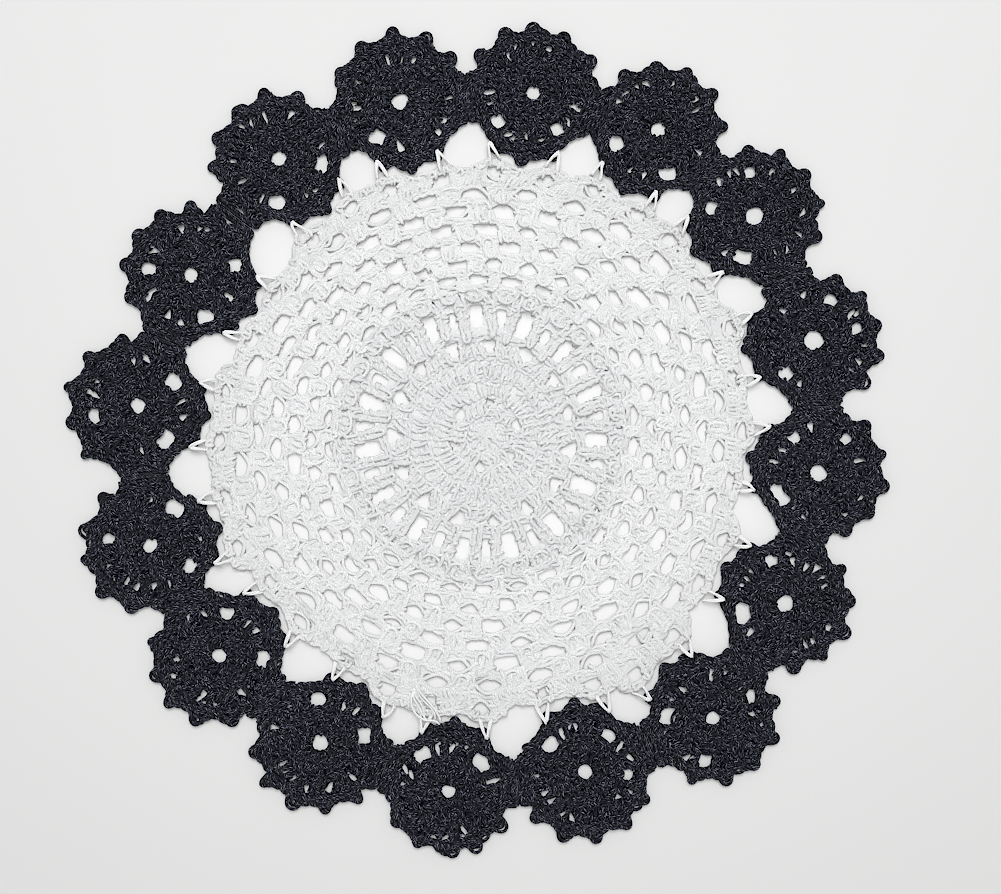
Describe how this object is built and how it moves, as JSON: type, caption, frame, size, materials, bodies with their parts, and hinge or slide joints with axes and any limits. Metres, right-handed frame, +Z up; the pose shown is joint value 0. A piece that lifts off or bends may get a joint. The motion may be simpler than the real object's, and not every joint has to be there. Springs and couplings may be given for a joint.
{
  "type": "lace doily",
  "caption": "Round crocheted cotton doily with a white openwork centre and a border of dark navy round motifs, lying flat.",
  "frame": {"origin": "middle of the closed centre ring, on the underside, where the doily touches the table", "axes": "+Z up from the table through the cloth; +Y towards the edge that lies away from the viewer, +X to the right"},
  "size_m": [0.3304, 0.3344, 0.0024],
  "materials": {
    "white_yarn": "matt",
    "dark_yarn": "matt"
  },
  "bodies": {
    "root": {"centre": "white_yarn", "motif_01": "dark_yarn", "motif_02": "dark_yarn", "motif_03": "dark_yarn", "motif_04": "dark_yarn", "motif_05": "dark_yarn", "motif_06": "dark_yarn", "motif_07": "dark_yarn", "motif_08": "dark_yarn", "motif_09": "dark_yarn", "motif_10": "dark_yarn", "motif_11": "dark_yarn", "motif_12": "dark_yarn", "motif_13": "dark_yarn", "motif_14": "dark_yarn", "motif_15": "dark_yarn", "motif_16": "dark_yarn"}
  },
  "joints": []
}
